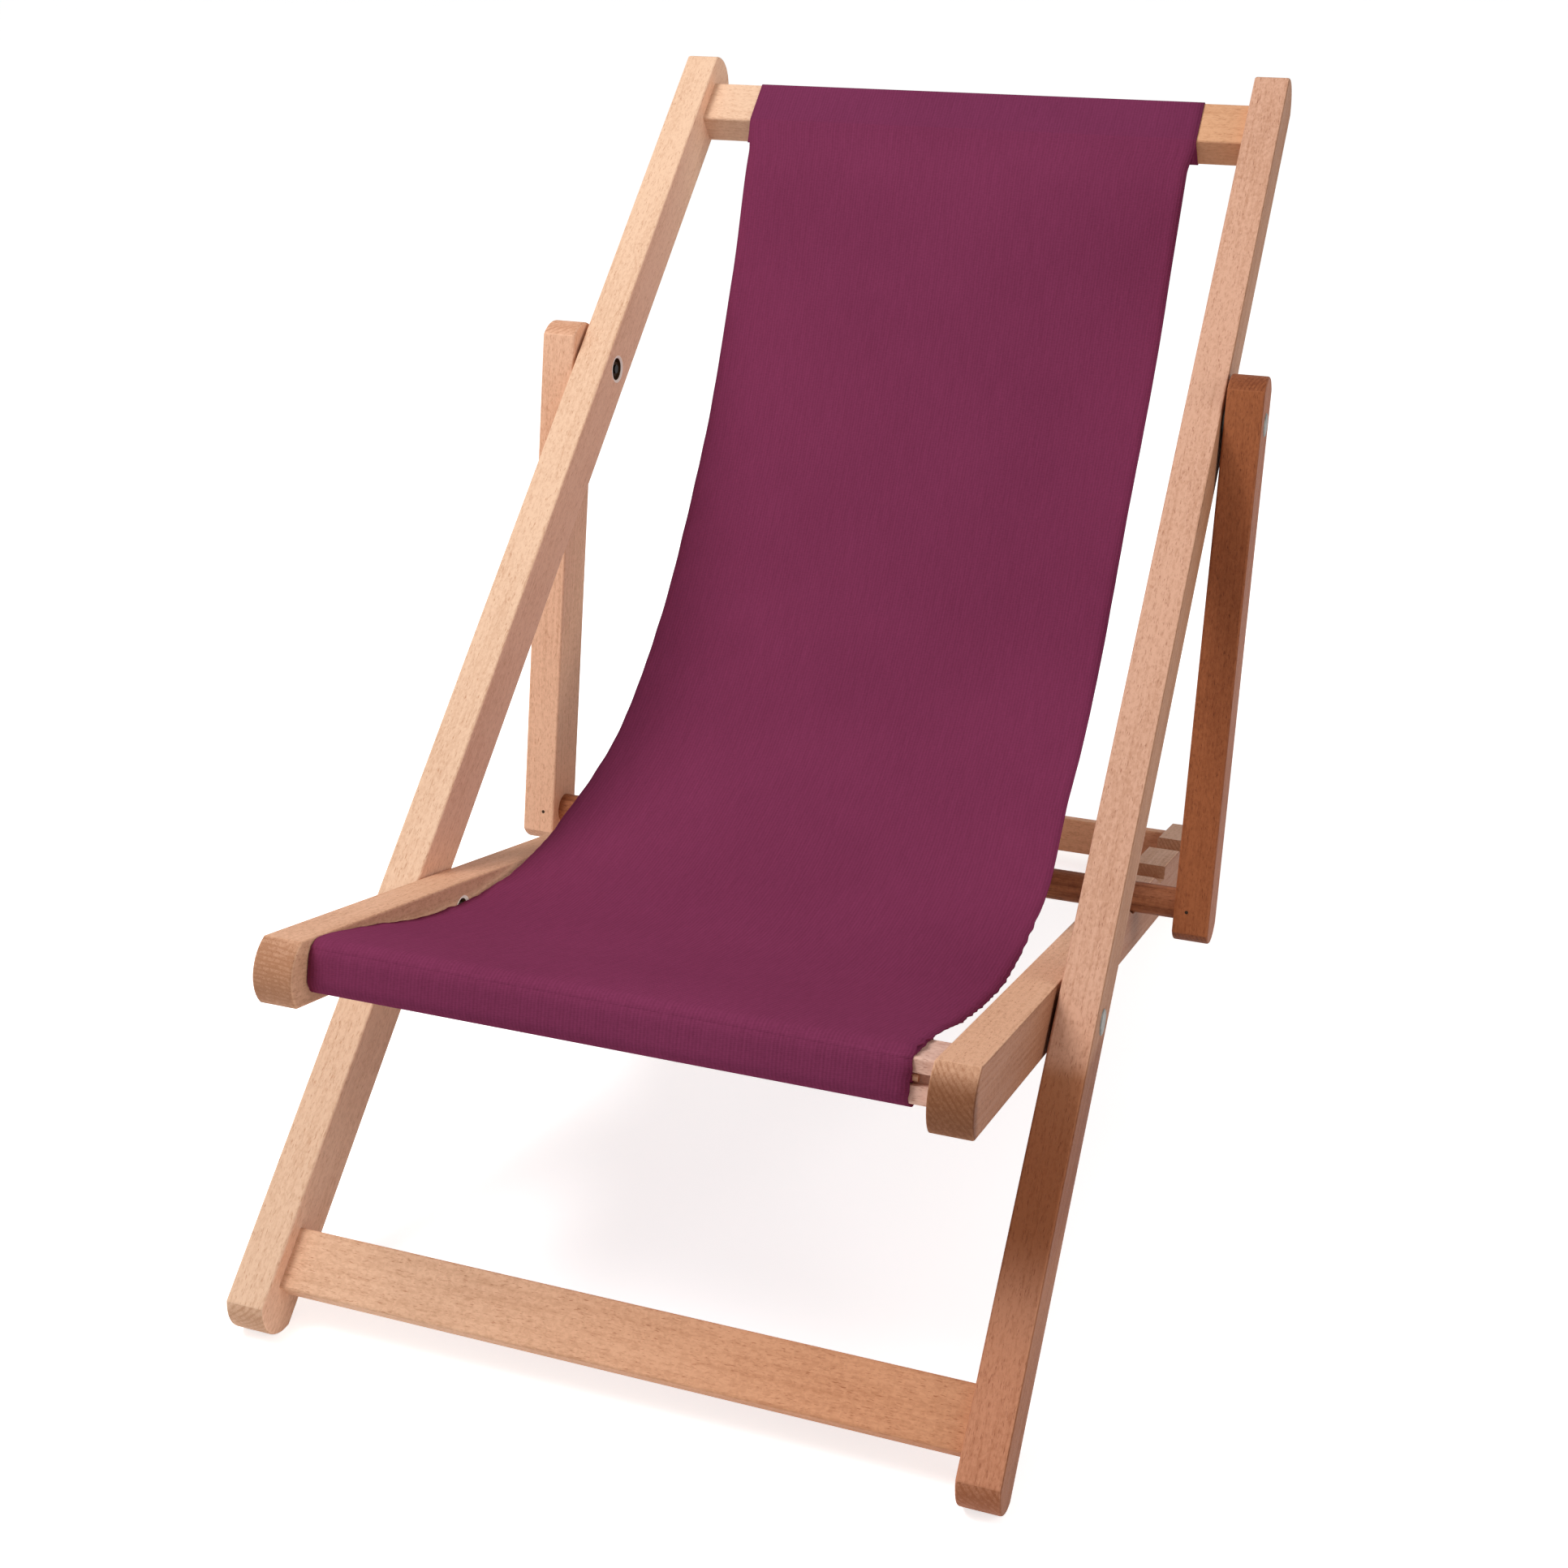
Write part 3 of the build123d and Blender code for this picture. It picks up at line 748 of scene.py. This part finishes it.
def cloth_offset(side, along, share, tangent):
    """How far a place on the cloth lies from the strip's middle line."""
    free = rise(share, 0, held_share) * rise(1 - share, 0, held_share)
    near_edge = rise(abs(side), edge_start_share, 1)
    curl = uneven(side, along, edge_curl) * near_edge * rise(share, *curl_shares)
    fray = uneven(side, along, edge_fray) * near_edge * rise(share, *fray_shares)
    belly = belly_depth * (1 - side * side) * 4 * share * (1 - share)
    lift = (uneven(side, along, ripple) + curl) * free - belly
    slant = middle_at_top + (middle_at_front - middle_at_top) * share
    reach = slant + side * half_width(share) + (fray if side > 0 else -fray)
    return Vector((max(reach, rail_gap - seat_inner), tangent.z * lift, -tangent.y * lift))


def make_sling():
    """The canvas, laid along its path and given its thickness; gives the path back for the seams."""
    path = spread(sling_path(), step_length)
    lengths = [0.0]
    for first, second in zip(path, path[1:]):
        lengths.append(lengths[-1] + (second - first).length)
    rows = len(path) - 1
    first_row = min(range(rows), key=lambda row: (path[row] - hang[2]).length)
    last_row = min(range(rows), key=lambda row: (path[row] - hang[-1]).length)

    mesh = bmesh.new()
    bmesh.ops.create_grid(mesh, x_segments=columns, y_segments=rows, size=0.5)
    cloth_map = mesh.loops.layers.uv.new("cloth_map")
    spot = {vert: (vert.co.x * 2, round((vert.co.y + 0.5) * rows)) for vert in mesh.verts}
    for face in mesh.faces:
        face.smooth = True
        for loop in face.loops:
            side, row = spot[loop.vert]
            loop[cloth_map].uv = (side * sling_half_width, lengths[row])
    for vert, (side, row) in spot.items():
        share = (lengths[row] - lengths[first_row]) / (lengths[last_row] - lengths[first_row])
        share = min(1.0, max(0.0, share))
        tangent = (path[min(row + 1, rows)] - path[max(row - 1, 0)]).normalized()
        vert.co = path[row] + cloth_offset(side, lengths[row], share, tangent)
    bmesh.ops.recalc_face_normals(mesh, faces=mesh.faces)
    data = bpy.data.meshes.new("canvas_sling")
    mesh.to_mesh(data)
    mesh.free()
    sling = bpy.data.objects.new("canvas_sling", data)
    bpy.context.collection.objects.link(sling)
    sling.data.materials.append(plum_canvas)
    wall = sling.modifiers.new("cloth", "SOLIDIFY")
    wall.thickness = canvas_thickness
    wall.offset = 0
    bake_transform(sling)
    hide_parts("sling")
    return path


# Seam: two rows of stitches through the rear flap of the loop, at these lengths down the flap

seam_places = (0.008, 0.017)
stitch_length = 0.0030
stitch_pitch = 0.0045
stitch_radius = 0.00035
stitch_segments = 8
selvedge = 0.004


def make_seams(path):
    """Short thread stitches on the outside of the rear flap, riding the back frame."""
    mesh = bmesh.new()
    leave = (path[0] - path[1]).normalized()
    outward = Vector((0, -leave.z, leave.y))
    turned = Matrix.Rotation(pi / 2, 4, "Y")
    count = int(2 * (sling_half_width - selvedge) / stitch_pitch)
    for place in seam_places:
        line = path[1] + leave * (place - flap_start) + outward * (canvas_thickness / 2)
        for index in range(count):
            across = middle_at_top + (index - (count - 1) / 2) * stitch_pitch
            spot = Matrix.Translation(line + Vector((across, 0, 0)))
            bmesh.ops.create_cone(mesh, cap_ends=True, segments=stitch_segments, radius1=stitch_radius,
                                  radius2=stitch_radius, depth=stitch_length, matrix=spot @ turned)
    data = bpy.data.meshes.new("seam_stitches")
    mesh.to_mesh(data)
    mesh.free()
    seams = bpy.data.objects.new("seam_stitches", data)
    bpy.context.collection.objects.link(seams)
    seams.data.materials.append(sewing_thread)
    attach(seams, "back_frame")


# Studio: a pale floor that keeps the chair's shadow, a plain white world and two soft lights

white = color(1, 1, 1)
floor_reach = 40
floor_grain_scale = (2, 2, 2)
floor_tone = (0.3, 0.7, 0.94, 0.96)
floor_roughness = 0.9
floor_glow = 0.66
ambient = 0.36
key_place, key_target, key_size, key_power = (-1.35, -1.00, 2.95), (0, 0, 0.35), 1.4, 66
fill_place, fill_target, fill_size, fill_power = (2.80, -0.30, 1.30), (0, 0, 0.40), 2.0, 26


def make_stage():
    mesh = bmesh.new()
    bmesh.ops.create_grid(mesh, x_segments=1, y_segments=1, size=floor_reach)
    data = bpy.data.meshes.new("floor")
    mesh.to_mesh(data)
    mesh.free()
    floor = bpy.data.objects.new("floor", data)
    bpy.context.collection.objects.link(floor)
    material, tree, shader = new_material("pale_floor")
    place = add(tree, "ShaderNodeTexCoord").outputs["Object"]
    grain = ramp(tree, noise_at(tree, place, floor_grain_scale), *floor_tone)
    paper = add(tree, "ShaderNodeCombineColor", {0: grain, 1: grain, 2: grain}).outputs[0]
    tree.links.new(paper, shader.inputs["Base Color"])
    shader.inputs["Roughness"].default_value = floor_roughness
    shader.inputs["Specular IOR Level"].default_value = 0.0
    rays = add(tree, "ShaderNodeLightPath").outputs
    seen = math(tree, "MAXIMUM", rays["Is Camera Ray"], rays["Is Glossy Ray"])
    shader.inputs["Emission Color"].default_value = white
    tree.links.new(math(tree, "MULTIPLY", seen, floor_glow), shader.inputs["Emission Strength"])
    floor.data.materials.append(material)


def make_world():
    world = bpy.data.worlds.new("studio")
    world.use_nodes = True
    bpy.context.scene.world = world
    tree = world.node_tree
    background = tree.nodes["Background"]
    background.inputs["Color"].default_value = white
    rays = add(tree, "ShaderNodeLightPath").outputs
    seen = math(tree, "MAXIMUM", rays["Is Camera Ray"], rays["Is Glossy Ray"])
    seen = math(tree, "MAXIMUM", seen, rays["Is Transmission Ray"])
    tree.links.new(math(tree, "MAXIMUM", seen, ambient), background.inputs["Strength"])


def make_light(name, place, target, size, power):
    light = bpy.data.objects.new(name, bpy.data.lights.new(name, "AREA"))
    bpy.context.collection.objects.link(light)
    light.location = place
    light.rotation_euler = (Vector(target) - Vector(place)).to_track_quat("-Z", "Y").to_euler()
    light.data.size = size
    light.data.energy = power


plum = color(0.235, 0.040, 0.103)
deep_plum = color(0.165, 0.027, 0.069)
pale_thread = color(0.30, 0.075, 0.150)
deep_thread = color(0.19, 0.040, 0.085)

make_camera()
finish_solids()
plum_canvas = canvas("plum_canvas", plum, deep_plum)
sewing_thread = thread("sewing_thread", pale_thread, deep_thread)
make_seams(make_sling())
make_stage()
make_world()
make_light("key", key_place, key_target, key_size, key_power)
make_light("fill", fill_place, fill_target, fill_size, fill_power)

bpy.context.scene.view_settings.view_transform = "Standard"
